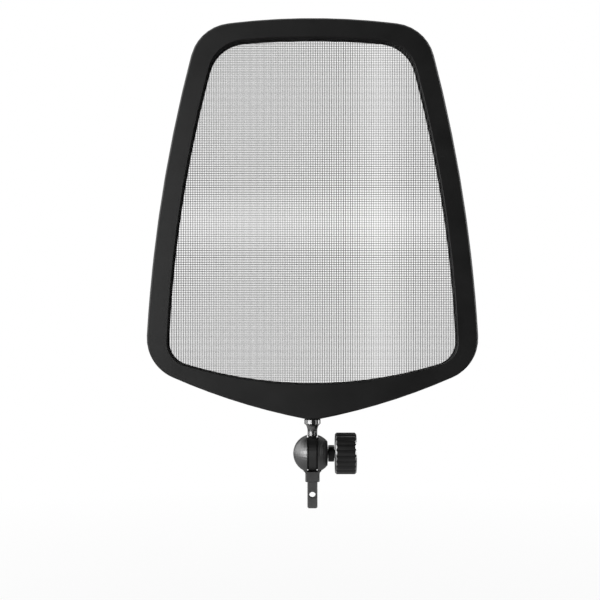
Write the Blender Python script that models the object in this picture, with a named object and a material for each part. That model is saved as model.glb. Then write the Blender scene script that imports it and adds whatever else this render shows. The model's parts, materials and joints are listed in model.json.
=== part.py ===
"""Pop filter for a studio microphone: a framed double screen on a tilting ball clamp.

Metres, +Z up. The front is -Y and the thumb knob is on +X.
The origin is the centre of the tenon's lower end.
Every piece is modelled about the pivot, the centre of the ball, and is then hung on the empty of its joint.
"""

import math

import bmesh
import bpy

MM = 0.001

# Clearances
GAP = 0.3 * MM                    # between pieces that clamp, slide on or rest on each other
FIT = 0.15 * MM                   # round a screw, pin or bush in its hole

# Frame outline, seen from the front; heights are above the pivot
TOP_WIDTH = 76.4 * MM             # between the top corners before they are rounded
WAIST_WIDTH = 112.2 * MM          # between the lower corners before they are rounded
CHIN_Z = 11.5 * MM                # lowest point of the chin before it is rounded
CHIN_HEIGHT = 18.7 * MM           # from there up to the lower corners
SIDE_HEIGHT = 113.1 * MM          # from the lower corners up to the top corners
TOP_BULGE = 3.2 * MM              # how far each edge stands proud of its chord
SIDE_BULGE = 3.4 * MM
CHIN_BULGE = 2.1 * MM
TOP_RADIUS = 14.6 * MM
WAIST_RADIUS = 14.5 * MM
CHIN_RADIUS = 11.7 * MM

# Opening in the frame
TOP_BAND = 5.1 * MM               # frame width above the opening's top corners
TOP_SIDE_BAND = 5.8 * MM          # beside the opening's top corners
WAIST_BAND = 7.1 * MM             # beside the opening's lower corners
OPENING_LIFT = 1.8 * MM           # lower corners of the opening above those of the frame
OPENING_TOP_BULGE = 2.0 * MM
OPENING_CHIN_BULGE = 8.4 * MM
OPENING_TOP_RADIUS = 12.9 * MM
OPENING_WAIST_RADIUS = 8.0 * MM

# Frame section, front to back
FRAME_DEPTH = 8.0 * MM
REAR_THICKNESS = 1.4 * MM
LIP_THICKNESS = 1.6 * MM          # front lip that covers the screens' edge
LEDGE = 2.4 * MM                  # pocket for the screens, outwards from the opening
SCREEN_THICKNESS = 0.2 * MM
SPACER_SETBACK = 0.3 * MM         # spacer's inner edge behind the opening's
REAR_SETBACK = 0.2 * MM           # rear ring's outer edge inside the front ring's
EDGE_CHAMFER = 0.5 * MM           # outer edges
OPENING_CHAMFER = 0.2 * MM        # edges of the opening
REAR_CHAMFER = 0.3 * MM           # outer edge of the rear ring

# Frame screws
SCREW_ANGLES = (-62, -28, 2, 32, 68)   # degrees from +X about the frame's middle, mirrored to -X
SCREW_RIM = 0.65 * MM             # metal between a screw head and the frame's outer edge
SCREW_RADIUS = 0.75 * MM
SCREW_TIP = 0.6                   # of the screw's radius
SCREW_LENGTH = 4.8 * MM
HEAD_RADIUS = 1.3 * MM
HEAD_HEIGHT = 0.65 * MM
HEAD_SUNK = 0.15 * MM
CROSS_LENGTH = 1.4 * MM
CROSS_WIDTH = 0.34 * MM
CROSS_DEPTH = 0.45 * MM

# Stem
STEM_SLOT_ROOM = 0.15 * MM        # between the rod and each side of the slot it swings in
STEM_FLANGE_RADIUS = 2.75 * MM
STEM_SEAT_DEPTH = 0.1 * MM        # flat filed into the chin for the flange
STEM_FLANGE_HEIGHT = 1.5 * MM
STEM_FLARE_HEIGHT = 2.5 * MM
STEM_FLARE_SWEEP = 0.96           # of a quarter circle's reach, so that the flare keeps a slope
STEM_FLARE_STEPS = 6
SPIGOT_WALL = 0.75 * MM           # frame metal behind the spigot
SPIGOT_LENGTH = 7.0 * MM
EYE_SETBACK = 0.6 * MM            # eye's edge inside the ball's surface
EYE_RIM = 0.35 * MM               # eye outside its washer recesses
EYE_THICKNESS = 2.8 * MM
EYE_ROOM = 0.4 * MM               # between the eye and each cheek of the slot
EYE_WEB = 1.9 * MM                # eye thickness between its two washer recesses
EYE_CHAMFER = 0.15 * MM

# Grub screws
GRUB_RADIUS = 1.0 * MM
GRUB_CHAMFER = 0.3 * MM
GRUB_SOCKET_RADIUS = 0.55 * MM
GRUB_SOCKET_DEPTH = 0.9 * MM
STEM_GRUB_RISE = 4.0 * MM         # above the chin
GRUB_SUNK = 0.2 * MM

# Ball clamp
BALL_RADIUS = 6.5 * MM
BALL_FLAT_RIM = 0.98 * MM         # flat that faces the knob, outside the thrust washer's seat
NECK_WEB = 0.625 * MM             # neck on each side of the slot
NECK_DEPTH = 4.8 * MM
NECK_DROP = 9.4 * MM              # pivot to the neck's lower end
NECK_FILLET = 1.1 * MM
NECK_CHAMFER = 0.35 * MM
NECK_ROOT = 0.75                  # height of its top end, inside the ball, of the ball's radius
NECK_TAPER = 0.25 * MM            # of its front and back up to there
TENON_WIDTH = 3.4 * MM
TENON_DEPTH = 3.2 * MM
TENON_LENGTH = 9.0 * MM
TENON_HOLE_RADIUS = 1.1 * MM
TENON_CHAMFER = 0.4 * MM

# Friction washers, thread insert and thrust washer
CHEEK_RECESS = 0.3 * MM           # depth of each washer's seat in the ball
WASHER_GAP = 0.12 * MM            # on each face of a washer
INSERT_WALL = 0.65 * MM
BALL_WALL = 0.75 * MM             # ball outside the insert's far corner
THRUST_WIDTH = 1.25 * MM          # of the thrust washer's ring
THRUST_THICKNESS = 0.5 * MM
THRUST_PROUD = 0.1 * MM           # of the ball's flat

# Clamp screw and knob
STUD_RADIUS = 1.5 * MM
STUD_CHAMFER = 0.3 * MM
COLLAR_WALL = 1.15 * MM
COLLAR_LENGTH = 2.0 * MM
COLLAR_CHAMFER = 0.15 * MM
KNOB_RADIUS = 7.05 * MM
KNOB_LENGTH = 7.15 * MM
KNOB_RIBS = 22
KNOB_RIB_DEPTH = 0.35 * MM
KNOB_CHAMFER = 0.55 * MM
CAP_RIM = 2.0 * MM                # knob's end face outside its cap
CAP_THICKNESS = 1.0 * MM
CAP_SUNK = 0.15 * MM
CAP_CHAMFER = 0.2 * MM

# Facets
FILLET_STEP = math.radians(10)    # turn of one facet in a rounded corner
LONG_ARC_STEPS = 7                # facets in each long edge
CLOSEST_RAYS = math.radians(0.7)  # least turn between two corners, seen from the frame's middle
ROUND_SIDES = 28
BALL_SIDES = 36
SMALL_SIDES = 12
HOLE_SIDES = 16
SOCKET_SIDES = 6
BALL_STEPS = 14                   # facets from the ball's left end to its flat
BALL_START = math.radians(2.7)    # the first of them, from the ball's axis
SLOT_STEPS = 6                    # facets in the slot's floor
NECK_STEPS = 5                    # facets in the neck's fillet
SHARP_EDGE = math.radians(32)     # faces that meet more steeply keep a sharp edge
RIB_STEPS = 4                     # points on each rib of the knob

# Frame levels that follow from those above
PIVOT_Z = TENON_LENGTH + NECK_DROP
FRONT_Y = -FRAME_DEPTH / 2
BACK_Y = FRAME_DEPTH / 2
REAR_RING_Y = BACK_Y - REAR_THICKNESS
FRONT_RING_BACK_Y = REAR_RING_Y - GAP
POCKET_Y = FRONT_Y + LIP_THICKNESS
FRONT_SCREEN_Y = POCKET_Y + GAP
REAR_SCREEN_Y = REAR_RING_Y - 2 * GAP - SCREEN_THICKNESS
MIDDLE_Z = CHIN_Z + (CHIN_HEIGHT + SIDE_HEIGHT) / 2
SCREW_INSET = HEAD_RADIUS + FIT + SCREW_RIM
SEAT_Z = CHIN_Z + GAP + STEM_SEAT_DEPTH
FLANGE_Z = SEAT_Z - GAP
GRUB_Z = CHIN_Z + STEM_GRUB_RISE
SPIGOT_RADIUS = FRONT_RING_BACK_Y - SPIGOT_WALL - FIT

# Clamp sizes that follow from those above
STUD_HOLE_RADIUS = STUD_RADIUS + FIT
EYE_RADIUS = BALL_RADIUS - EYE_SETBACK
RECESS_RADIUS = EYE_RADIUS - EYE_RIM
WASHER_RADIUS = RECESS_RADIUS - FIT
SLOT_HALF = EYE_THICKNESS / 2 + EYE_ROOM
STEM_RADIUS = SLOT_HALF - STEM_SLOT_ROOM
NECK_WIDTH = 2 * (SLOT_HALF + NECK_WEB)
INSERT_RADIUS = STUD_HOLE_RADIUS + INSERT_WALL
CHEEK_X = SLOT_HALF + CHEEK_RECESS
INSERT_X = -CHEEK_X - FIT
INSERT_HOLE_X = -math.sqrt((BALL_RADIUS - BALL_WALL) ** 2 - (INSERT_RADIUS + FIT) ** 2)
THRUST_RADIUS = STUD_HOLE_RADIUS + THRUST_WIDTH
BALL_FLAT = math.sqrt(BALL_RADIUS ** 2 - (THRUST_RADIUS + FIT + BALL_FLAT_RIM) ** 2)
THRUST_SEAT_X = BALL_FLAT + THRUST_PROUD - THRUST_THICKNESS - FIT
COLLAR_RADIUS = STUD_HOLE_RADIUS + COLLAR_WALL
COLLAR_X = BALL_FLAT + THRUST_PROUD + FIT
KNOB_X = COLLAR_X + COLLAR_LENGTH + GAP
KNOB_END_X = KNOB_X + KNOB_LENGTH
CAP_RADIUS = KNOB_RADIUS - KNOB_CHAMFER - CAP_RIM
CAP_FLOOR_X = KNOB_END_X - CAP_SUNK - CAP_THICKNESS - FIT


# ---------------------------------------------------------------- outlines made of arcs

def bulged_edge(start, end, bulge):
    """Centre and radius of the arc from start to end, clockwise, that stands bulge proud of its chord."""
    run = (end[0] - start[0], end[1] - start[1])
    chord = math.hypot(*run)
    radius = (chord * chord / 4 + bulge * bulge) / (2 * bulge)
    inward = (run[1] / chord, -run[0] / chord)
    drop = radius - bulge
    centre = ((start[0] + end[0]) / 2 + inward[0] * drop, (start[1] + end[1]) / 2 + inward[1] * drop)
    return centre, radius


def fillet_centre(edge_a, edge_b, radius, corner):
    """Centre of the circle of that radius inside both edges' circles and touching them, near the corner."""
    (ax, az), ra = edge_a
    (bx, bz), rb = edge_b
    reach_a = ra - radius
    reach_b = rb - radius
    span = math.hypot(bx - ax, bz - az)
    along = (reach_a ** 2 - reach_b ** 2 + span ** 2) / (2 * span)
    aside = math.sqrt(reach_a ** 2 - along ** 2)
    ux, uz = (bx - ax) / span, (bz - az) / span
    foot_x = ax + ux * along
    foot_z = az + uz * along
    choices = [(foot_x - side * uz * aside, foot_z + side * ux * aside) for side in (-1, 1)]
    return min(choices, key=lambda c: math.hypot(c[0] - corner[0], c[1] - corner[1]))


def direction(centre, point):
    return math.atan2(point[1] - centre[1], point[0] - centre[0])


def rounded_outline(corners, bulges, radii):
    """Closed clockwise outline of arcs (centre, radius, first angle, clockwise turn), corners rounded."""
    count = len(corners)
    edges = [bulged_edge(corners[i], corners[(i + 1) % count], bulges[i]) for i in range(count)]
    fillets = [fillet_centre(edges[i - 1], edges[i], radii[i], corners[i]) for i in range(count)]
    arcs = []
    for i in range(count):
        first = direction(edges[i - 1][0], fillets[i])
        last = direction(edges[i][0], fillets[i])
        following = direction(edges[i][0], fillets[(i + 1) % count])
        arcs.append((fillets[i], radii[i], first, (first - last) % math.tau))
        arcs.append((edges[i][0], edges[i][1], last, (last - following) % math.tau))
    return arcs


def grown(outline, distance):
    """The outline moved outwards by distance, or inwards where it is negative."""
    return [(centre, radius + distance, first, turn) for centre, radius, first, turn in outline]


def reach(outline, angle):
    """Distance from the frame's middle to the outline along a ray at that angle."""
    dx, dz = math.cos(angle), math.sin(angle)
    best = None
    for (cx, cz), radius, first, turn in outline:
        px, pz = cx, cz - MIDDLE_Z
        along = px * dx + pz * dz
        inside = radius ** 2 - (px * px + pz * pz - along ** 2)
        if inside < 0:
            continue
        distance = along + math.sqrt(inside)
        at = math.atan2(distance * dz - pz, distance * dx - px)
        over = (first - at) % math.tau
        excess = 0 if over <= turn else min(over - turn, math.tau - over)
        if best is None or excess < best[0]:
            best = (excess, distance)
    return best[1]


def loop_at(outline, angles, y):
    """The outline as a loop of points, one on each ray from the frame's middle."""
    points = []
    for angle in angles:
        distance = reach(outline, angle)
        points.append((distance * math.cos(angle), y, MIDDLE_Z + distance * math.sin(angle)))
    return points


def ray_angles(outlines):
    """Angles of the rays that resolve every arc of the outlines, without near repeats."""
    angles = []
    for outline in outlines:
        for index, ((cx, cz), radius, first, turn) in enumerate(outline):
            steps = LONG_ARC_STEPS if index % 2 else max(2, math.ceil(turn / FILLET_STEP))
            for step in range(steps):
                at = first - turn * step / steps
                point = (cx + radius * math.cos(at), cz + radius * math.sin(at))
                angles.append(direction((0, MIDDLE_Z), point))
    angles = sorted(round(angle % math.tau, 6) for angle in angles)
    kept = [angles[0]]
    for angle in angles[1:]:
        if angle - kept[-1] > CLOSEST_RAYS and math.tau + kept[0] - angle > CLOSEST_RAYS:
            kept.append(angle)
    return kept


def frame_outline():
    half_top = TOP_WIDTH / 2
    half_waist = WAIST_WIDTH / 2
    waist_z = CHIN_Z + CHIN_HEIGHT
    top_z = waist_z + SIDE_HEIGHT
    corners = [
        (-half_top, top_z),
        (half_top, top_z),
        (half_waist, waist_z),
        (0, CHIN_Z),
        (-half_waist, waist_z),
    ]
    bulges = [TOP_BULGE, SIDE_BULGE, CHIN_BULGE, CHIN_BULGE, SIDE_BULGE]
    radii = [TOP_RADIUS, TOP_RADIUS, WAIST_RADIUS, CHIN_RADIUS, WAIST_RADIUS]
    return rounded_outline(corners, bulges, radii)


def opening_outline():
    half_top = TOP_WIDTH / 2 - TOP_SIDE_BAND
    half_waist = WAIST_WIDTH / 2 - WAIST_BAND
    waist_z = CHIN_Z + CHIN_HEIGHT + OPENING_LIFT
    top_z = CHIN_Z + CHIN_HEIGHT + SIDE_HEIGHT - TOP_BAND
    corners = [(-half_top, top_z), (half_top, top_z), (half_waist, waist_z), (-half_waist, waist_z)]
    bulges = [OPENING_TOP_BULGE, SIDE_BULGE, OPENING_CHIN_BULGE, SIDE_BULGE]
    radii = [OPENING_TOP_RADIUS, OPENING_TOP_RADIUS, OPENING_WAIST_RADIUS, OPENING_WAIST_RADIUS]
    return rounded_outline(corners, bulges, radii)


# ---------------------------------------------------------------- solids

def solid(name, loops, ring=False):
    """A solid through equal loops: a ring where the last meets the first, else closed at both ends."""
    shape = bmesh.new()
    rows = [[shape.verts.new(point) for point in loop] for loop in loops]
    count = len(rows[0])
    pairs = list(zip(rows, rows[1:]))
    if ring:
        pairs.append((rows[-1], rows[0]))
    else:
        shape.faces.new(rows[0])
        shape.faces.new(rows[-1])
    for near, far in pairs:
        for i in range(count):
            j = (i + 1) % count
            shape.faces.new((near[i], near[j], far[j], far[i]))
    bmesh.ops.recalc_face_normals(shape, faces=shape.faces)
    mesh = bpy.data.meshes.new(name)
    shape.to_mesh(mesh)
    shape.free()
    item = bpy.data.objects.new(name, mesh)
    bpy.context.scene.collection.objects.link(item)
    return item


def circle(axis, along, radius, sides, centre=(0.0, 0.0)):
    """Points round an axis; centre gives the other two coordinates in X, Y, Z order."""
    points = []
    for i in range(sides):
        turn = math.tau * (i + 0.5) / sides
        u = centre[0] + radius * math.cos(turn)
        v = centre[1] + radius * math.sin(turn)
        points.append({"X": (along, u, v), "Y": (u, along, v), "Z": (u, v, along)}[axis])
    return points


def turned(name, axis, profile, sides=ROUND_SIDES, centre=(0.0, 0.0), ring=False):
    """A turned piece; profile lists (distance along the axis, radius)."""
    return solid(name, [circle(axis, along, radius, sides, centre) for along, radius in profile], ring)


def bush(name, start, end, inner, outer, chamfer=0.0):
    """A washer, sleeve or bush on the pivot's axis, its outer edges broken."""
    profile = [
        (start, inner),
        (start, outer - chamfer),
        (start + chamfer, outer),
        (end - chamfer, outer),
        (end, outer - chamfer),
        (end, inner),
    ]
    if chamfer == 0.0:
        profile = [(start, inner), (start, outer), (end, outer), (end, inner)]
    return turned(name, "X", profile, ring=True)


def rectangle(half_x, half_y, z, chamfer):
    """A rectangle about the Z axis with its corners cut."""
    cut_x = half_x - chamfer
    cut_y = half_y - chamfer
    return [
        (cut_x, -half_y, z),
        (half_x, -cut_y, z),
        (half_x, cut_y, z),
        (cut_x, half_y, z),
        (-cut_x, half_y, z),
        (-half_x, cut_y, z),
        (-half_x, -cut_y, z),
        (-cut_x, -half_y, z),
    ]


def box(name, low, high):
    corners = [(low[0], low[1]), (high[0], low[1]), (high[0], high[1]), (low[0], high[1])]
    return solid(name, [[(x, y, z) for x, y in corners] for z in (low[2], high[2])])


def combine(target, tool, operation):
    """Exact Boolean of the tool on the target; the tool is used up."""
    modifier = target.modifiers.new("combine", "BOOLEAN")
    modifier.operation = operation
    modifier.solver = "EXACT"
    modifier.object = tool
    evaluated = target.evaluated_get(bpy.context.evaluated_depsgraph_get())
    mesh = bpy.data.meshes.new_from_object(evaluated)
    target.modifiers.remove(modifier)
    target.data = mesh
    mesh.name = target.name
    bpy.data.objects.remove(tool)


def cut(target, *tools):
    for tool in tools:
        combine(target, tool, "DIFFERENCE")


def gather(tools):
    """One tool from several that stand clear of each other."""
    shape = bmesh.new()
    for tool in tools:
        shape.from_mesh(tool.data)
    shape.to_mesh(tools[0].data)
    shape.free()
    for tool in tools[1:]:
        bpy.data.objects.remove(tool)
    return tools[0]


# ---------------------------------------------------------------- filter

def screw_places(outer):
    """Centres (x, z) of the frame screws, right side then left, from the chin up."""
    places = []
    line = grown(outer, -SCREW_INSET)
    for side in (1, -1):
        for degrees in SCREW_ANGLES:
            angle = math.radians(degrees)
            distance = reach(line, angle)
            places.append((side * distance * math.cos(angle), MIDDLE_Z + distance * math.sin(angle)))
    return places


def front_frame(outer, opening, angles, places):
    """Deep front ring: the lip in front of the screens, the pocket behind it, and the stem's socket."""
    sections = [
        (grown(outer, -EDGE_CHAMFER), FRONT_Y),
        (outer, FRONT_Y + EDGE_CHAMFER),
        (outer, FRONT_RING_BACK_Y),
        (grown(opening, LEDGE), FRONT_RING_BACK_Y),
        (grown(opening, LEDGE), POCKET_Y),
        (opening, POCKET_Y),
        (opening, FRONT_Y + OPENING_CHAMFER),
        (grown(opening, OPENING_CHAMFER), FRONT_Y),
    ]
    item = solid("front_frame", [loop_at(outline, angles, y) for outline, y in sections], ring=True)
    tip_y = BACK_Y - HEAD_SUNK - SCREW_LENGTH
    hole = [(tip_y - GAP, SCREW_RADIUS + FIT), (BACK_Y, SCREW_RADIUS + FIT)]
    cut(item, gather([turned("hole", "Y", hole, SMALL_SIDES, place) for place in places]))
    socket = [
        (FLANGE_Z - STEM_FLANGE_HEIGHT, STEM_FLANGE_RADIUS + GAP),
        (SEAT_Z, STEM_FLANGE_RADIUS + GAP),
        (SEAT_Z, SPIGOT_RADIUS + FIT),
        (FLANGE_Z + SPIGOT_LENGTH + GAP, SPIGOT_RADIUS + FIT),
    ]
    grub_hole = [(0.0, GRUB_RADIUS + FIT), (BACK_Y, GRUB_RADIUS + FIT)]
    cut(
        item,
        turned("socket", "Z", socket),
        turned("grub_hole", "Y", grub_hole, SMALL_SIDES, (0.0, GRUB_Z)),
    )
    return item


def rear_frame(outer, opening, angles, places):
    """Flat ring that closes the pocket, countersunk for the frame screws."""
    edge = grown(outer, -REAR_SETBACK)
    sections = [
        (edge, REAR_RING_Y),
        (edge, BACK_Y - REAR_CHAMFER),
        (grown(edge, -REAR_CHAMFER), BACK_Y),
        (grown(opening, OPENING_CHAMFER), BACK_Y),
        (opening, BACK_Y - OPENING_CHAMFER),
        (opening, REAR_RING_Y),
    ]
    item = solid("rear_frame", [loop_at(outline, angles, y) for outline, y in sections], ring=True)
    cone_y = BACK_Y - HEAD_SUNK - HEAD_HEIGHT
    hole = [
        (REAR_RING_Y - GAP, SCREW_RADIUS + FIT),
        (cone_y, SCREW_RADIUS + FIT),
        (BACK_Y - HEAD_SUNK, HEAD_RADIUS + FIT),
        (BACK_Y + GAP, HEAD_RADIUS + FIT),
    ]
    grub_hole = [(0.0, GRUB_RADIUS + FIT), (BACK_Y + GAP, GRUB_RADIUS + FIT)]
    tools = [turned("hole", "Y", hole, SMALL_SIDES, place) for place in places]
    tools.append(turned("grub_hole", "Y", grub_hole, SMALL_SIDES, (0.0, GRUB_Z)))
    cut(item, gather(tools))
    return item


def screen(name, opening, angles, y):
    """One screen's outer shape: a thin sheet whose edge lies in the pocket."""
    edge = grown(opening, LEDGE - GAP)
    return solid(name, [loop_at(edge, angles, level) for level in (y, y + SCREEN_THICKNESS)])


def mesh_spacer(opening, angles):
    """Ring that holds the two screens apart."""
    inner = grown(opening, SPACER_SETBACK)
    edge = grown(opening, LEDGE - GAP)
    near = FRONT_SCREEN_Y + SCREEN_THICKNESS + GAP
    far = REAR_SCREEN_Y - GAP
    sections = [(inner, near), (edge, near), (edge, far), (inner, far)]
    return solid("mesh_spacer", [loop_at(outline, angles, y) for outline, y in sections], ring=True)


def frame_screw(name, place):
    """Countersunk screw with a cross recess, its head just under the rear face."""
    head_y = BACK_Y - HEAD_SUNK
    profile = [
        (head_y - SCREW_LENGTH, SCREW_RADIUS * SCREW_TIP),
        (head_y - SCREW_LENGTH + SCREW_RADIUS, SCREW_RADIUS),
        (head_y - HEAD_HEIGHT, SCREW_RADIUS),
        (head_y, HEAD_RADIUS),
    ]
    item = turned(name, "Y", profile, SMALL_SIDES, place)
    x, z = place
    for reach_x, reach_z in ((CROSS_LENGTH / 2, CROSS_WIDTH / 2), (CROSS_WIDTH / 2, CROSS_LENGTH / 2)):
        low = (x - reach_x, head_y - CROSS_DEPTH, z - reach_z)
        high = (x + reach_x, head_y + CROSS_DEPTH, z + reach_z)
        cut(item, box("recess", low, high))
    return item


def grub_screw(name, axis, tip, head, centre):
    """Headless screw from its tip to its head, with a six-sided socket in the head."""
    profile = [
        (tip, GRUB_RADIUS - GRUB_CHAMFER),
        (tip + GRUB_CHAMFER, GRUB_RADIUS),
        (head, GRUB_RADIUS),
    ]
    item = turned(name, axis, profile, SMALL_SIDES, centre)
    socket = [(head - GRUB_SOCKET_DEPTH, GRUB_SOCKET_RADIUS), (head + GAP, GRUB_SOCKET_RADIUS)]
    cut(item, turned("socket", axis, socket, SOCKET_SIDES, centre))
    return item


def stem():
    """Flared rod with its spigot above and the clamp's round eye below."""
    flare_top = FLANGE_Z - STEM_FLANGE_HEIGHT
    flare_bottom = flare_top - STEM_FLARE_HEIGHT
    profile = [
        (EYE_RADIUS - GAP, STEM_RADIUS - EYE_CHAMFER * 2),
        (EYE_RADIUS + EYE_CHAMFER, STEM_RADIUS),
    ]
    full_flare = 1 - math.sqrt(1 - STEM_FLARE_SWEEP ** 2)
    for step in range(STEM_FLARE_STEPS + 1):
        rise = step / STEM_FLARE_STEPS
        flare = (1 - math.sqrt(1 - (STEM_FLARE_SWEEP * rise) ** 2)) / full_flare
        radius = STEM_RADIUS + (STEM_FLANGE_RADIUS - STEM_RADIUS) * flare
        profile.append((flare_bottom + STEM_FLARE_HEIGHT * rise, radius))
    profile += [
        (FLANGE_Z - EYE_CHAMFER, STEM_FLANGE_RADIUS),
        (FLANGE_Z, STEM_FLANGE_RADIUS - EYE_CHAMFER),
        (FLANGE_Z, SPIGOT_RADIUS),
        (FLANGE_Z + SPIGOT_LENGTH - EYE_CHAMFER, SPIGOT_RADIUS),
        (FLANGE_Z + SPIGOT_LENGTH, SPIGOT_RADIUS - EYE_CHAMFER),
    ]
    item = turned("stem", "Z", profile)
    half = EYE_THICKNESS / 2
    web = EYE_WEB / 2
    eye = [
        (-web, STUD_HOLE_RADIUS),
        (-web, RECESS_RADIUS),
        (-half, RECESS_RADIUS),
        (-half, EYE_RADIUS - EYE_CHAMFER),
        (EYE_CHAMFER - half, EYE_RADIUS),
        (half - EYE_CHAMFER, EYE_RADIUS),
        (half, EYE_RADIUS - EYE_CHAMFER),
        (half, RECESS_RADIUS),
        (web, RECESS_RADIUS),
        (web, STUD_HOLE_RADIUS),
    ]
    combine(item, turned("eye", "X", eye, BALL_SIDES, ring=True), "UNION")
    return item


def friction_washer(name, side):
    """Washer that fills the recess in the eye and the facing one in the ball's cheek."""
    near = side * (EYE_WEB / 2 + WASHER_GAP)
    far = side * (CHEEK_X - WASHER_GAP)
    return bush(name, min(near, far), max(near, far), STUD_HOLE_RADIUS, WASHER_RADIUS)


# ---------------------------------------------------------------- clamp

def clamp_ball():
    """Slotted ball with its neck and tenon; the slot's floor follows the stem's eye."""
    first = math.pi - BALL_START
    last = math.acos(BALL_FLAT / BALL_RADIUS)
    profile = []
    for step in range(BALL_STEPS + 1):
        turn = first + (last - first) * step / BALL_STEPS
        profile.append((BALL_RADIUS * math.cos(turn), BALL_RADIUS * math.sin(turn)))
    item = turned("clamp_ball", "X", profile, BALL_SIDES)
    combine(item, neck_and_tenon(), "UNION")
    cut(item, eye_slot())
    stud_hole = [
        (0.0, STUD_HOLE_RADIUS),
        (THRUST_SEAT_X, STUD_HOLE_RADIUS),
        (THRUST_SEAT_X, THRUST_RADIUS + FIT),
        (BALL_RADIUS, THRUST_RADIUS + FIT),
    ]
    insert_hole = [(INSERT_HOLE_X, INSERT_RADIUS + FIT), (0.0, INSERT_RADIUS + FIT)]
    cheek_recess = [(-CHEEK_X, RECESS_RADIUS), (CHEEK_X, RECESS_RADIUS)]
    cross_hole = [(-NECK_DEPTH, TENON_HOLE_RADIUS), (NECK_DEPTH, TENON_HOLE_RADIUS)]
    hole_z = -NECK_DROP - TENON_LENGTH / 2
    cut(
        item,
        turned("stud_hole", "X", stud_hole),
        turned("insert_hole", "X", insert_hole),
        turned("cheek_recess", "X", cheek_recess, BALL_SIDES),
        turned("cross_hole", "Y", cross_hole, HOLE_SIDES, (0.0, hole_z)),
    )
    return item


def neck_and_tenon():
    """Square neck that spreads into the ball, and the narrower tenon below it."""
    half_x = NECK_WIDTH / 2
    half_y = NECK_DEPTH / 2
    tenon_x = TENON_WIDTH / 2
    tenon_y = TENON_DEPTH / 2
    foot_z = -PIVOT_Z
    loops = [
        rectangle(tenon_x - TENON_CHAMFER, tenon_y - TENON_CHAMFER, foot_z, TENON_CHAMFER / 2),
        rectangle(tenon_x, tenon_y, foot_z + TENON_CHAMFER, TENON_CHAMFER / 2),
        rectangle(tenon_x, tenon_y, -NECK_DROP, TENON_CHAMFER / 2),
        rectangle(half_x - NECK_CHAMFER / 2, half_y - NECK_CHAMFER / 2, -NECK_DROP, NECK_CHAMFER),
        rectangle(half_x, half_y, -NECK_DROP + NECK_CHAMFER / 2, NECK_CHAMFER),
    ]
    # The fillet rises from the neck's side and leaves it level, inside the ball.
    centre_x = half_x + NECK_FILLET
    centre_z = -math.sqrt((BALL_RADIUS + NECK_FILLET) ** 2 - centre_x ** 2)
    finish = math.atan2(-centre_z, centre_x)
    for step in range(NECK_STEPS + 1):
        turn = finish * step / NECK_STEPS
        x = centre_x - NECK_FILLET * math.cos(turn)
        z = centre_z + NECK_FILLET * math.sin(turn)
        loops.append(rectangle(x, half_y, z, NECK_CHAMFER))
    loops.append(rectangle(half_x, half_y - NECK_TAPER, -BALL_RADIUS * NECK_ROOT, NECK_CHAMFER))
    return solid("neck", loops)


def eye_slot():
    """Tool for the slot: open to the front, back and top, with a hollow floor round the eye."""
    far = 2 * BALL_RADIUS
    floor_radius = EYE_RADIUS + GAP
    shelf_z = -math.sqrt(BALL_RADIUS ** 2 - (NECK_DEPTH / 2) ** 2)
    edge_turn = math.acos(-shelf_z / floor_radius)
    section = [(far, far), (far, shelf_z)]
    for step in range(SLOT_STEPS + 1):
        turn = edge_turn * (1 - 2 * step / SLOT_STEPS)
        section.append((floor_radius * math.sin(turn), -floor_radius * math.cos(turn)))
    section += [(-far, shelf_z), (-far, far)]
    return solid("slot", [[(x, y, z) for y, z in section] for x in (-SLOT_HALF, SLOT_HALF)])


def thread_insert():
    """Threaded bush in the ball's left half, open to the slot."""
    return bush("thread_insert", INSERT_HOLE_X + FIT, INSERT_X, STUD_HOLE_RADIUS, INSERT_RADIUS)


# ---------------------------------------------------------------- knob

def thrust_washer():
    end = BALL_FLAT + THRUST_PROUD
    return bush("thrust_washer", end - THRUST_THICKNESS, end, STUD_HOLE_RADIUS, THRUST_RADIUS)


def clamp_screw():
    """Stud from inside the knob, through the eye, to the bottom of the thread insert."""
    start = INSERT_HOLE_X + FIT + GAP
    end = CAP_FLOOR_X - GAP
    profile = [
        (start, STUD_RADIUS - STUD_CHAMFER),
        (start + STUD_CHAMFER, STUD_RADIUS),
        (end - STUD_CHAMFER, STUD_RADIUS),
        (end, STUD_RADIUS - STUD_CHAMFER),
    ]
    return turned("clamp_screw", "X", profile)


def knob_collar():
    end = COLLAR_X + COLLAR_LENGTH
    return bush("knob_collar", COLLAR_X, end, STUD_HOLE_RADIUS, COLLAR_RADIUS, COLLAR_CHAMFER)


def rib_radius(turn):
    """Rounded ribs with narrow grooves between them."""
    wave = abs(math.sin(KNOB_RIBS * turn / 2))
    return KNOB_RADIUS - KNOB_RIB_DEPTH * (1 - wave)


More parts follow.
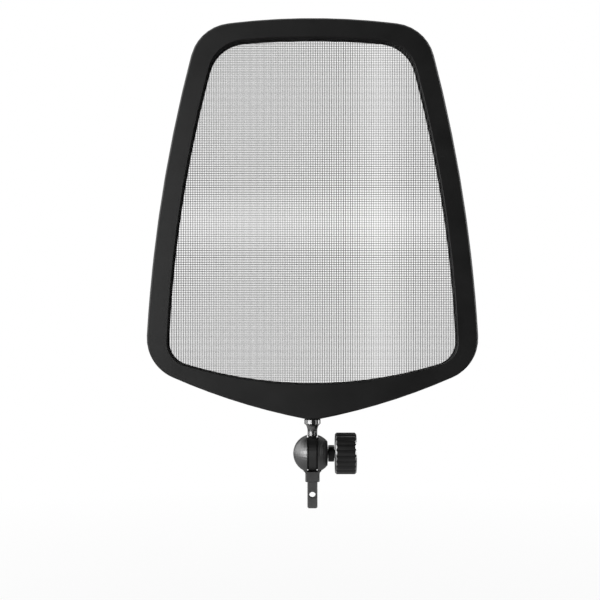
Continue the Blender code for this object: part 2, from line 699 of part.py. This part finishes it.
def knob():
    """Ribbed thumb knob, bevelled at both ends, with a recess for its cap."""
    sides = KNOB_RIBS * RIB_STEPS
    turns = [math.tau * i / sides for i in range(sides)]
    end_radius = KNOB_RADIUS - KNOB_CHAMFER

    def plain(x, radius):
        return [(x, radius * math.cos(turn), radius * math.sin(turn)) for turn in turns]

    def ribbed(end_x, inwards):
        loop = []
        for turn in turns:
            radius = rib_radius(turn)
            x = end_x + inwards * (radius - end_radius)
            loop.append((x, radius * math.cos(turn), radius * math.sin(turn)))
        return loop

    loops = [
        plain(KNOB_X, STUD_HOLE_RADIUS),
        plain(KNOB_X, end_radius),
        ribbed(KNOB_X, 1),
        ribbed(KNOB_END_X, -1),
        plain(KNOB_END_X, end_radius),
        plain(KNOB_END_X, CAP_RADIUS + FIT),
        plain(CAP_FLOOR_X, CAP_RADIUS + FIT),
        plain(CAP_FLOOR_X, STUD_HOLE_RADIUS),
    ]
    item = solid("knob", loops, ring=True)
    hole = [(0.0, GRUB_RADIUS + FIT), (KNOB_RADIUS + GAP, GRUB_RADIUS + FIT)]
    cut(item, turned("hole", "Y", hole, SMALL_SIDES, (KNOB_X + KNOB_LENGTH / 2, 0.0)))
    return item


def knob_end_cap():
    start = CAP_FLOOR_X + FIT
    end = start + CAP_THICKNESS
    profile = [
        (start, CAP_RADIUS),
        (end - CAP_CHAMFER, CAP_RADIUS),
        (end, CAP_RADIUS - CAP_CHAMFER),
    ]
    return turned("knob_end_cap", "X", profile)


# ---------------------------------------------------------------- finish

MATERIALS = {
    "frame_black": ((0.035, 0.035, 0.037), 0.42, 0.0),
    "screen_wire": ((0.42, 0.42, 0.43), 0.35, 1.0),
    "spacer_black": ((0.02, 0.02, 0.02), 0.6, 0.0),
    "screw_black": ((0.05, 0.05, 0.05), 0.4, 1.0),
    "clamp_grey": ((0.22, 0.22, 0.23), 0.35, 1.0),
    "stem_grey": ((0.2, 0.2, 0.21), 0.3, 1.0),
    "knob_black": ((0.05, 0.05, 0.052), 0.4, 0.6),
    "steel": ((0.45, 0.45, 0.46), 0.3, 1.0),
    "brass": ((0.7, 0.52, 0.25), 0.3, 1.0),
    "washer_nylon": ((0.04, 0.04, 0.04), 0.6, 0.0),
}


def make_material(name):
    colour, roughness, metallic = MATERIALS[name]
    material = bpy.data.materials.new(name)
    material.use_nodes = True
    shader = material.node_tree.nodes["Principled BSDF"]
    shader.inputs["Base Color"].default_value = (*colour, 1.0)
    shader.inputs["Roughness"].default_value = roughness
    shader.inputs["Metallic"].default_value = metallic
    return material


def make_empty(name):
    empty = bpy.data.objects.new(name, None)
    empty.location = (0.0, 0.0, PIVOT_Z)
    empty.empty_display_size = BALL_RADIUS
    bpy.context.scene.collection.objects.link(empty)
    return empty


def hang(empty, pieces):
    """Gives each (object, material) its finish and shading and hangs it on the empty."""
    for item, material in pieces:
        item.data.materials.clear()
        item.data.materials.append(material)
        item.data.shade_smooth()
        item.data.set_sharp_from_angle(angle=SHARP_EDGE)
        item.parent = empty


def main():
    for item in list(bpy.data.objects):
        bpy.data.objects.remove(item)
    materials = {name: make_material(name) for name in MATERIALS}
    outer = frame_outline()
    opening = opening_outline()
    angles = ray_angles([outer, opening])
    places = screw_places(outer)

    tilting = [
        (front_frame(outer, opening, angles, places), materials["frame_black"]),
        (rear_frame(outer, opening, angles, places), materials["frame_black"]),
        (screen("front_mesh", opening, angles, FRONT_SCREEN_Y), materials["screen_wire"]),
        (screen("rear_mesh", opening, angles, REAR_SCREEN_Y), materials["screen_wire"]),
        (mesh_spacer(opening, angles), materials["spacer_black"]),
        (stem(), materials["stem_grey"]),
        (friction_washer("friction_washer_left", -1), materials["washer_nylon"]),
        (friction_washer("friction_washer_right", 1), materials["washer_nylon"]),
    ]
    for number, place in enumerate(places, start=1):
        tilting.append((frame_screw(f"frame_screw_{number:02d}", place), materials["screw_black"]))
    stem_grub = grub_screw("stem_set_screw", "Y", SPIGOT_RADIUS + GAP, BACK_Y - GRUB_SUNK, (0.0, GRUB_Z))
    tilting.append((stem_grub, materials["screw_black"]))
    hang(make_empty("tilt_axis"), tilting)

    fixed = [
        (clamp_ball(), materials["clamp_grey"]),
        (thread_insert(), materials["brass"]),
    ]
    hang(make_empty("clamp_centre"), fixed)

    hang(make_empty("knob_slide_axis"), [(thrust_washer(), materials["steel"])])

    grub_head = KNOB_RADIUS - KNOB_RIB_DEPTH - GRUB_SUNK
    grub_centre = (KNOB_X + KNOB_LENGTH / 2, 0.0)
    knob_grub = grub_screw("knob_set_screw", "Y", STUD_RADIUS + GAP, grub_head, grub_centre)
    turning = [
        (clamp_screw(), materials["steel"]),
        (knob_collar(), materials["clamp_grey"]),
        (knob(), materials["knob_black"]),
        (knob_end_cap(), materials["knob_black"]),
        (knob_grub, materials["screw_black"]),
    ]
    hang(make_empty("knob_axis"), turning)


main()
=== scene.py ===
"""Looks of the microphone pop filter: woven wire screens, finished metal and a plain studio."""

import json
import math

import bmesh
import bpy
import numpy as np
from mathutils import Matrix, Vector


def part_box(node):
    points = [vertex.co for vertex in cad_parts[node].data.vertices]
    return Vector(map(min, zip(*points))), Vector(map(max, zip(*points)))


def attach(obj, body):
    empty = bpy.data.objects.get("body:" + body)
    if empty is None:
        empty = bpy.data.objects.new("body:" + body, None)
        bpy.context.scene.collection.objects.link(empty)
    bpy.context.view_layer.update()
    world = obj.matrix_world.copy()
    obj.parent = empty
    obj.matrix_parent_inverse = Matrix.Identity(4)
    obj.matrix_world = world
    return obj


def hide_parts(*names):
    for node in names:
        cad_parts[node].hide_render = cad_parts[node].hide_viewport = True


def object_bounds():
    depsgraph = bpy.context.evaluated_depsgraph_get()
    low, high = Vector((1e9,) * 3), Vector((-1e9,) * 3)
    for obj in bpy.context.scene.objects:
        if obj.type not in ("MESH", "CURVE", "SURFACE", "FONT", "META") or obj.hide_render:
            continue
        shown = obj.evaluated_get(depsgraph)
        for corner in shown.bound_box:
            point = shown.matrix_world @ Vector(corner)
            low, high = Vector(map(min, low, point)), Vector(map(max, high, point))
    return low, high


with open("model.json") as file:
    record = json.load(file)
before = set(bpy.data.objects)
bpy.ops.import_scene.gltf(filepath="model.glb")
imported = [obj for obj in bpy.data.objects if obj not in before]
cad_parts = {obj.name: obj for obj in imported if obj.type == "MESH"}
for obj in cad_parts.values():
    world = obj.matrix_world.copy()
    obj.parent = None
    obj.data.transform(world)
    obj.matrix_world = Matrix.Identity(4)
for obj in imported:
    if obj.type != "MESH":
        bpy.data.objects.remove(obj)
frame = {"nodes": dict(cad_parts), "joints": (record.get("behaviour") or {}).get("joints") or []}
cad_low, cad_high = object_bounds()

MM = 0.001

# Woven wire
PITCH = 0.79 * MM
WIRE_RADIUS = 0.053 * MM
CRIMP = 0.05 * MM                 # how far a wire swings to each side of its screen's middle
FRONT_SHIFT = 0.5                 # of a pitch, from the screen's low edge to its first wire
REAR_SHIFT = 0.31                 # of a pitch, between the two screens' wires
SHORTEST_WIRE = 4 * PITCH
PLACE_DIGITS = 7                  # decimals at which two outline corners count as one

# Rear frame's step
STEP_ROOM = 0.1 * MM              # between the step and the rear screen
STEP_ROOT = 0.05 * MM             # how far it reaches into the ring
STEP_WIDTH = 0.4 * MM

# Surface patterns
CLOUD_SIZE = 9 * MM               # of the drift in tone and roughness
CLOUD_DETAIL = 4.0
GRAIN_DETAIL = 2.0
GRAIN_STRENGTH = 0.6
LINE_DETAIL = 3.0
LINE_STRENGTH = 0.5
NOISE_LOW = 0.3                   # range of a noise pattern that is spread over a finish
NOISE_HIGH = 0.7

# Finishes within one piece, and painted shade on the stem's eye
KNOB_END_SLACK = 0.01 * MM        # depth that counts as the knob's end face
BEVEL_SLACK = 0.05 * MM
EYE_TOP = 5.7 * MM                # above the pivot, where the dull eye with its painted shade starts to turn into the rod
ROD_START = 6.3 * MM
EYE_ROUGHNESS = 0.46

# Camera
CAMERA_DISTANCE = 0.419           # from the front of the frame
CAMERA_SIDE = -0.0042
CAMERA_RISE = 0.0519              # above the pivot
CAMERA_NEAR = 0.01
LENS = 75.0
SENSOR_WIDTH = 36.0

# Room, as the object sees it
ROOM_LEFT = 0.05                  # strength at the far left
ROOM_RIGHT = 0.01                 # strength from ROOM_TURN to the far right
ROOM_TURN = 0.5                   # sideways part of the direction

# Floor
FLOOR_HALF = 6.0
FLOOR_TONE = 0.86
FLOOR_ROUGHNESS = 0.6
FLOOR_SPECULAR = 0.2
FLOOR_GLOW = 0.85                 # share of its white that no shadow takes away, near the object
FLOOR_GLOW_NEAR = 0.02            # the share starts to rise to 1 here, and reaches it at FLOOR_GLOW_FAR
FLOOR_GLOW_FAR = 0.35
LIT_FLOOR = (-0.12, 0.0, 0.0)     # where the floor throws most light back on the object
LIT_GLOW = 0.40                   # light thrown back there
ROOM_FLOOR = 0.05                 # light thrown back away from there
LIT_NEAR = 0.05
LIT_FAR = 0.35

nodes = frame["nodes"]
joints = {joint["name"]: joint for joint in frame["joints"]}
pivot = Vector(joints["filter_tilt"]["pos_m"])
middle = (cad_low + cad_high) / 2


def add_object(name, data):
    item = bpy.data.objects.new(name, data)
    bpy.context.scene.collection.objects.link(item)
    return item


def set_material(item, material):
    item.data.materials.clear()
    item.data.materials.append(material)


# ---------------------------------------------------------------- shader nodes

def new_material(name, colour, roughness, metallic=0.0, specular=0.5):
    material = bpy.data.materials.new(name)
    material.use_nodes = True
    shader = material.node_tree.nodes["Principled BSDF"]
    shader.inputs["Base Color"].default_value = (*colour, 1.0)
    shader.inputs["Roughness"].default_value = roughness
    shader.inputs["Metallic"].default_value = metallic
    shader.inputs["Specular IOR Level"].default_value = specular
    return material, material.node_tree, shader


def coordinates(tree, stretch=(1.0, 1.0, 1.0), centre=(0.0, 0.0, 0.0)):
    """Object coordinates about a centre, scaled along each axis."""
    source = tree.nodes.new("ShaderNodeTexCoord")
    mapping = tree.nodes.new("ShaderNodeMapping")
    mapping.vector_type = "POINT"
    mapping.inputs["Location"].default_value = [-c * s for c, s in zip(centre, stretch)]
    mapping.inputs["Scale"].default_value = stretch
    tree.links.new(source.outputs["Object"], mapping.inputs["Vector"])
    return mapping.outputs["Vector"]


def axes(tree, vector):
    """The X, Y and Z outputs of a vector."""
    parts = tree.nodes.new("ShaderNodeSeparateXYZ")
    tree.links.new(vector, parts.inputs["Vector"])
    return parts.outputs


def distance(tree, centre):
    node = tree.nodes.new("ShaderNodeVectorMath")
    node.operation = "LENGTH"
    tree.links.new(coordinates(tree, centre=centre), node.inputs[0])
    return node.outputs["Value"]


def math_node(tree, operation, *values):
    """The result of an operation on numbers and outputs."""
    node = tree.nodes.new("ShaderNodeMath")
    node.operation = operation
    for socket, value in zip(node.inputs, values):
        if isinstance(value, float):
            socket.default_value = value
        else:
            tree.links.new(value, socket)
    return node.outputs["Value"]


def noise(tree, vector, scale, detail):
    node = tree.nodes.new("ShaderNodeTexNoise")
    node.inputs["Scale"].default_value = scale
    node.inputs["Detail"].default_value = detail
    tree.links.new(vector, node.inputs["Vector"])
    return node.outputs["Fac"]


def spread(tree, value, low, high, at_low=NOISE_LOW, at_high=NOISE_HIGH):
    """The value from at_low..at_high mapped to low..high."""
    node = tree.nodes.new("ShaderNodeMapRange")
    node.inputs["From Min"].default_value = at_low
    node.inputs["From Max"].default_value = at_high
    node.inputs["To Min"].default_value = low
    node.inputs["To Max"].default_value = high
    tree.links.new(value, node.inputs["Value"])
    return node.outputs["Result"]


def tint(tree, value, dark, light):
    """A colour between dark and light."""
    node = tree.nodes.new("ShaderNodeMix")
    node.data_type = "RGBA"
    node.inputs["A"].default_value = (*dark, 1.0)
    node.inputs["B"].default_value = (*light, 1.0)
    tree.links.new(value, node.inputs["Factor"])
    return node.outputs["Result"]


def bump(tree, height, strength, relief, before=None):
    node = tree.nodes.new("ShaderNodeBump")
    node.inputs["Strength"].default_value = strength
    node.inputs["Distance"].default_value = relief
    tree.links.new(height, node.inputs["Height"])
    if before is not None:
        tree.links.new(before, node.inputs["Normal"])
    return node.outputs["Normal"]


# ---------------------------------------------------------------- finishes

ALONG_X = (1.0, 0.02, 0.02)       # lines run round or across the X axis
ALONG_Z = (0.02, 0.02, 1.0)


def finish_material(name, dark, light, roughness, metallic, grain, lines=None):
    """A finish with drifting tone and roughness, a fine grain, and optionally turned or drawn lines.

    roughness is (smoothest, roughest), grain is (size, relief) and lines is (width, relief,
    stretch per axis). Sizes, widths and reliefs are in millimetres."""
    material, tree, shader = new_material(name, light, roughness[1], metallic)
    plain = coordinates(tree)
    cloud = noise(tree, plain, 1 / CLOUD_SIZE, CLOUD_DETAIL)
    colour = tint(tree, spread(tree, cloud, 0.0, 1.0), dark, light)
    tree.links.new(colour, shader.inputs["Base Color"])
    size, relief = grain
    fine = noise(tree, plain, 1 / (size * MM), GRAIN_DETAIL)
    normal = bump(tree, fine, GRAIN_STRENGTH, relief * MM)
    pattern = cloud
    if lines is not None:
        width, relief, stretch = lines
        pattern = noise(tree, coordinates(tree, stretch), 1 / (width * MM), LINE_DETAIL)
        normal = bump(tree, pattern, LINE_STRENGTH, relief * MM, normal)
    tree.links.new(spread(tree, pattern, *roughness), shader.inputs["Roughness"])
    tree.links.new(normal, shader.inputs["Normal"])
    return material


def grey(value):
    return (value, value, value)


BARE_METAL = grey(0.45)
# painted shade: a darker base colour for the stem's eye than for its rod, which is the same metal
EYE_PAINTED_SHADE = grey(0.09)

powder = finish_material("powder_coat", grey(0.005), grey(0.007), (0.40, 0.47), 0.0, (0.22, 0.010))
wire_steel = finish_material("wire", grey(0.06), grey(0.10), (0.3, 0.42), 1.0, (0.05, 0.002))
spacer_black = finish_material("spacer", grey(0.012), grey(0.02), (0.55, 0.7), 0.0, (0.15, 0.01))
black_oxide = finish_material("black_oxide", grey(0.035), grey(0.06), (0.32, 0.5), 0.9, (0.12, 0.004))
nylon = finish_material("nylon", grey(0.006), grey(0.010), (0.5, 0.6), 0.0, (0.3, 0.004))
stem_metal = finish_material(
    "stem_metal", grey(0.24), grey(0.32), (0.17, 0.24), 1.0, (0.08, 0.0006), (0.10, 0.0012, ALONG_Z)
)
clamp_metal = finish_material(
    "blasted_metal", grey(0.17), grey(0.21), (0.40, 0.46), 1.0, (0.07, 0.0012)
)
collar_metal = finish_material(
    "collar_metal", grey(0.035), grey(0.055), (0.3, 0.4), 1.0, (0.12, 0.003), (0.12, 0.003, ALONG_X)
)
knob_black = finish_material(
    "knob_black", grey(0.045), grey(0.060), (0.28, 0.38), 0.7, (0.10, 0.003), (0.12, 0.004, ALONG_X)
)
steel = finish_material(
    "steel", grey(0.42), grey(0.52), (0.2, 0.32), 1.0, (0.12, 0.002), (0.10, 0.003, ALONG_X)
)
brass = finish_material(
    "brass", (0.58, 0.40, 0.17), (0.70, 0.50, 0.22), (0.22, 0.34), 1.0, (0.12, 0.002),
    (0.10, 0.003, ALONG_X),
)
cap_black = finish_material(
    "cap_black", grey(0.012), grey(0.018), (0.28, 0.38), 0.5, (0.10, 0.003), (0.12, 0.004, ALONG_X)
)


def recolour(tree, shader, share, colour):
    """Turns the shader's base colour to another where share is 1."""
    mix = tree.nodes.new("ShaderNodeMix")
    mix.data_type = "RGBA"
    mix.inputs["B"].default_value = (*colour, 1.0)
    tree.links.new(share, mix.inputs["Factor"])
    tree.links.new(shader.inputs["Base Color"].links[0].from_socket, mix.inputs["A"])
    tree.links.new(mix.outputs["Result"], shader.inputs["Base Color"])


def bare_bevels(material, name, colour):
    """Bare turned metal on the bevels at both ends of a black knob."""
    tree = material.node_tree
    shader = tree.nodes["Principled BSDF"]
    low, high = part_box(name)
    end = [v.co for v in nodes[name].data.vertices if v.co.x < low.x + KNOB_END_SLACK]
    radius = max(math.hypot(co.y - pivot.y, co.z - pivot.z) for co in end)
    centre = ((low.x + high.x) / 2, pivot.y, pivot.z)
    parts = axes(tree, coordinates(tree, centre=centre))
    squares = [math_node(tree, "MULTIPLY", parts[axis], parts[axis]) for axis in ("Y", "Z")]
    reach = math_node(tree, "SQRT", math_node(tree, "ADD", *squares))
    from_middle = math_node(tree, "ABSOLUTE", parts["X"])
    depth = math_node(tree, "SUBTRACT", (high.x - low.x) / 2, from_middle)
    edge = math_node(tree, "SUBTRACT", reach, depth)
    bevel = math_node(tree, "GREATER_THAN", edge, radius - BEVEL_SLACK)
    recolour(tree, shader, bevel, colour)
    painted = shader.inputs["Metallic"].default_value
    tree.links.new(spread(tree, bevel, painted, 1.0, 0.0, 1.0), shader.inputs["Metallic"])


def dull_eye_with_painted_shade(material, colour, roughness):
    """A rougher finish on the stem's eye than on its rod, and painted shade: a darker base colour on
    the eye.
    """
    tree = material.node_tree
    shader = tree.nodes["Principled BSDF"]
    parts = axes(tree, coordinates(tree, centre=pivot))
    eye = spread(tree, parts["Z"], 1.0, 0.0, EYE_TOP, ROD_START)
    # painted shade: the eye's base colour turns darker than the rod's
    recolour(tree, shader, eye, colour)
    blend = tree.nodes.new("ShaderNodeMix")
    tree.links.new(eye, blend.inputs["Factor"])
    tree.links.new(shader.inputs["Roughness"].links[0].from_socket, blend.inputs["A"])
    blend.inputs["B"].default_value = roughness
    tree.links.new(blend.outputs["Result"], shader.inputs["Roughness"])


bare_bevels(knob_black, "knob", BARE_METAL)
dull_eye_with_painted_shade(stem_metal, EYE_PAINTED_SHADE, EYE_ROUGHNESS)

FINISHES = {                      # all other nodes are screws, in black oxide
    "front_frame": powder,
    "rear_frame": powder,
    "mesh_spacer": spacer_black,
    "front_mesh": wire_steel,
    "rear_mesh": wire_steel,
    "stem": stem_metal,
    "friction_washer_left": nylon,
    "friction_washer_right": nylon,
    "clamp_ball": clamp_metal,
    "thread_insert": brass,
    "thrust_washer": steel,
    "clamp_screw": steel,
    "knob_collar": collar_metal,
    "knob": knob_black,
    "knob_end_cap": cap_black,
}

for node_name, node in nodes.items():
    set_material(node, FINISHES.get(node_name, black_oxide))


# ---------------------------------------------------------------- screens

def outline(node_name):
    """The edge of a screen as (x, z) points in order round its middle."""
    low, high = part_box(node_name)
    middle_x = (low.x + high.x) / 2
    middle_z = (low.z + high.z) / 2
    corners = [v.co for v in nodes[node_name].data.vertices]
    places = {(round(co.x, PLACE_DIGITS), round(co.z, PLACE_DIGITS)) for co in corners}
    return sorted(places, key=lambda p: math.atan2(p[1] - middle_z, p[0] - middle_x))


def span(edge, axis, at):
    """Where the line at that x (axis 0) or z (axis 1) enters and leaves the edge, or None."""
    hits = []
    for p, q in zip(edge, edge[1:] + edge[:1]):
        a = p[axis] - at
        b = q[axis] - at
        if a * b < 0:
            share = a / (a - b)
            hits.append(p[1 - axis] + share * (q[1 - axis] - p[1 - axis]))
    return (min(hits), max(hits)) if len(hits) >= 2 else None


def quad_mesh(name, points, quads):
    mesh = bpy.data.meshes.new(name)
    mesh.vertices.add(len(points))
    mesh.vertices.foreach_set("co", points.ravel())
    mesh.loops.add(quads.size)
    mesh.loops.foreach_set("vertex_index", quads.ravel())
    mesh.polygons.add(len(quads))
    mesh.polygons.foreach_set("loop_start", np.arange(0, quads.size, 4, dtype=np.int32))
    mesh.update(calc_edges=True)
    mesh.validate()
    return mesh


def wires(name, node_name, axis, shift):
    """All the wires of one screen that stand across an axis (0 is x, 1 is z).

    Each wire is a row of four-cornered rings, one at every crossing and one at each end, and
    swings over and under the wires that it crosses."""
    low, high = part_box(node_name)
    edge = outline(node_name)
    middle_y = (low.y + high.y) / 2
    first = (low.x, low.z)[axis]
    last = (high.x, high.z)[axis]
    other = (low.z, low.x)[axis]
    side = 1 if axis == 0 else -1
    across = np.array([WIRE_RADIUS, 0.0, -WIRE_RADIUS, 0.0])
    upright = np.array([0.0, WIRE_RADIUS, 0.0, -WIRE_RADIUS])
    corners = []
    faces = []
    base = 0
    for i in range(math.ceil((last - first) / PITCH) + 1):
        at = first + (i + shift) * PITCH
        ends = span(edge, axis, at)
        if ends is None or ends[1] - ends[0] < SHORTEST_WIRE:
            continue
        start = math.ceil((ends[0] - other) / PITCH - shift)
        stop = math.floor((ends[1] - other) / PITCH - shift)
        steps = np.arange(start, stop + 1)
        along = np.concatenate(([ends[0]], other + (steps + shift) * PITCH, [ends[1]]))
        swing = np.concatenate(([0.0], side * CRIMP * (1 - 2 * ((steps + i) % 2)), [0.0]))
        count = len(along)
        ring = np.zeros((count, 4, 3))
        ring[:, :, (0, 2)[axis]] = at + across
        ring[:, :, 1] = middle_y + swing[:, None] + upright
        ring[:, :, (2, 0)[axis]] = along[:, None]
        corners.append(ring.reshape(-1, 3))
        rows = base + 4 * np.arange(count - 1)[:, None]
        near = rows + np.arange(4)
        beside = rows + (np.arange(4) + 1) % 4
        quads = np.stack([near, beside, beside + 4, near + 4], axis=-1).reshape(-1, 4)
        start_cap = [base + 3, base + 2, base + 1, base]
        end_cap = base + 4 * (count - 1) + np.arange(4)
        caps = np.array([start_cap, end_cap])
        faces += [quads, caps] if axis == 1 else [quads[:, ::-1], caps[:, ::-1]]
        base += 4 * count
    mesh = quad_mesh(name, np.concatenate(corners), np.concatenate(faces).astype(np.int32))
    mesh.shade_smooth()
    item = add_object(name, mesh)
    set_material(item, wire_steel)
    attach(item, "filter")
    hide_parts(node_name)


wires("front_screen_warp", "front_mesh", 0, FRONT_SHIFT)
wires("front_screen_weft", "front_mesh", 1, FRONT_SHIFT)
wires("rear_screen_warp", "rear_mesh", 0, FRONT_SHIFT + REAR_SHIFT)
wires("rear_screen_weft", "rear_mesh", 1, FRONT_SHIFT + REAR_SHIFT)


# ---------------------------------------------------------------- rear frame's locating step

def rear_step():
    """The low step that locates the rear frame in the pocket and shuts the joint between the rings."""
    low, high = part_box("rear_mesh")
    middle_x = (low.x + high.x) / 2
    middle_z = (low.z + high.z) / 2
    front_y = high.y + STEP_ROOM
    back_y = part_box("rear_frame")[0].y + STEP_ROOT
    outer = outline("rear_mesh")
    inner = []
    for x, z in outer:
        share = 1 - STEP_WIDTH / math.hypot(x - middle_x, z - middle_z)
        inner.append((middle_x + (x - middle_x) * share, middle_z + (z - middle_z) * share))
    shape = bmesh.new()
    loops = [(outer, front_y), (outer, back_y), (inner, back_y), (inner, front_y)]
    rows = [[shape.verts.new((x, y, z)) for x, z in edge] for edge, y in loops]
    for near, far in zip(rows, rows[1:] + rows[:1]):
        for i in range(len(near)):
            shape.faces.new((near[i - 1], near[i], far[i], far[i - 1]))
    bmesh.ops.recalc_face_normals(shape, faces=shape.faces)
    mesh = bpy.data.meshes.new("rear_frame_step")
    shape.to_mesh(mesh)
    shape.free()
    item = add_object("rear_frame_step", mesh)
    set_material(item, powder)
    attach(item, "filter")


rear_step()


# ---------------------------------------------------------------- studio

def studio_floor():
    """A pale floor that meets the white background, below the filter when it is tilted right down.

    It glows white for the camera. The object gets less light from it, most of it from the left."""
    turn = math.radians(max(joints["filter_tilt"]["range_deg"]))
    drop = pivot.z + (cad_high.z - pivot.z) * math.cos(turn) - (cad_high.y - cad_low.y)
    signs = [(-1, -1), (1, -1), (1, 1), (-1, 1)]
    corners = [(x * FLOOR_HALF, y * FLOOR_HALF, drop) for x, y in signs]
    mesh = bpy.data.meshes.new("floor")
    mesh.from_pydata(corners, [], [(0, 1, 2, 3)])
    floor = add_object("floor", mesh)
    material, tree, shader = new_material(
        "pale_floor", grey(FLOOR_TONE), FLOOR_ROUGHNESS, 0.0, FLOOR_SPECULAR
    )
    glow = tree.nodes.new("ShaderNodeEmission")
    glow.inputs["Color"].default_value = (1.0, 1.0, 1.0, 1.0)
    path = tree.nodes.new("ShaderNodeLightPath")
    lit = spread(tree, distance(tree, LIT_FLOOR), LIT_GLOW, ROOM_FLOOR, LIT_NEAR, LIT_FAR)
    strength = tree.nodes.new("ShaderNodeMix")
    strength.inputs["B"].default_value = 1.0
    tree.links.new(path.outputs["Is Camera Ray"], strength.inputs["Factor"])
    tree.links.new(lit, strength.inputs["A"])
    tree.links.new(strength.outputs["Result"], glow.inputs["Strength"])
    away = distance(tree, (0.0, 0.0, 0.0))
    fade = spread(tree, away, FLOOR_GLOW, 1.0, FLOOR_GLOW_NEAR, FLOOR_GLOW_FAR)
    mix = tree.nodes.new("ShaderNodeMixShader")
    tree.links.new(fade, mix.inputs["Fac"])
    tree.links.new(shader.outputs["BSDF"], mix.inputs[1])
    tree.links.new(glow.outputs["Emission"], mix.inputs[2])
    tree.links.new(mix.outputs["Shader"], tree.nodes["Material Output"].inputs["Surface"])
    set_material(floor, material)


def studio_world():
    """White for the camera, and a dimmer room, brightest on the left, that lights the object."""
    world = bpy.data.worlds.new("studio")
    bpy.context.scene.world = world
    world.use_nodes = True
    tree = world.node_tree
    room = tree.nodes["Background"]
    room.inputs["Color"].default_value = (1.0, 1.0, 1.0, 1.0)
    source = tree.nodes.new("ShaderNodeTexCoord")
    parts = axes(tree, source.outputs["Generated"])
    light = spread(tree, parts["X"], ROOM_LEFT, ROOM_RIGHT, -1.0, ROOM_TURN)
    tree.links.new(light, room.inputs["Strength"])
    white = tree.nodes.new("ShaderNodeBackground")
    white.inputs["Color"].default_value = (1.0, 1.0, 1.0, 1.0)
    white.inputs["Strength"].default_value = 1.0
    path = tree.nodes.new("ShaderNodeLightPath")
    mix = tree.nodes.new("ShaderNodeMixShader")
    tree.links.new(path.outputs["Is Camera Ray"], mix.inputs["Fac"])
    tree.links.new(room.outputs["Background"], mix.inputs[1])
    tree.links.new(white.outputs["Background"], mix.inputs[2])
    tree.links.new(mix.outputs["Shader"], tree.nodes["World Output"].inputs["Surface"])


def softbox(name, place, aim, size, power):
    data = bpy.data.lights.new(name, "AREA")
    data.shape = "RECTANGLE"
    data.size, data.size_y = size
    data.energy = power
    lamp = add_object(name, data)
    lamp.location = place
    lamp.rotation_euler = (Vector(aim) - Vector(place)).to_track_quat("-Z", "Y").to_euler()
    lamp.visible_camera = False


def studio_camera():
    data = bpy.data.cameras.new("camera")
    data.lens = LENS
    data.sensor_width = SENSOR_WIDTH
    data.clip_start = CAMERA_NEAR
    camera = add_object("camera", data)
    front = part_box("front_frame")[0].y
    camera.location = (pivot.x + CAMERA_SIDE, front - CAMERA_DISTANCE, pivot.z + CAMERA_RISE)
    camera.rotation_euler = (math.radians(90), 0.0, 0.0)
    bpy.context.scene.camera = camera


LAMPS = [                         # name, place, aim, width and height, watts
    ("key", (-0.54, -0.58, 0.03), middle, (0.62, 0.6), 7.8),
    ("left", (-0.70, 0.12, 0.10), pivot, (0.9, 1.3), 7.0),
    ("right", (0.50, -0.40, 0.10), pivot, (0.10, 0.6), 0.25),
    ("rim", (0.6, 0.10, 0.10), pivot, (0.2, 0.9), 2.6),
    ("top", (0.0, 0.42, 0.75), middle, (1.0, 0.6), 3.0),
]

studio_floor()
studio_world()
for lamp in LAMPS:
    softbox(*lamp)
studio_camera()
bpy.context.scene.view_settings.view_transform = "Standard"
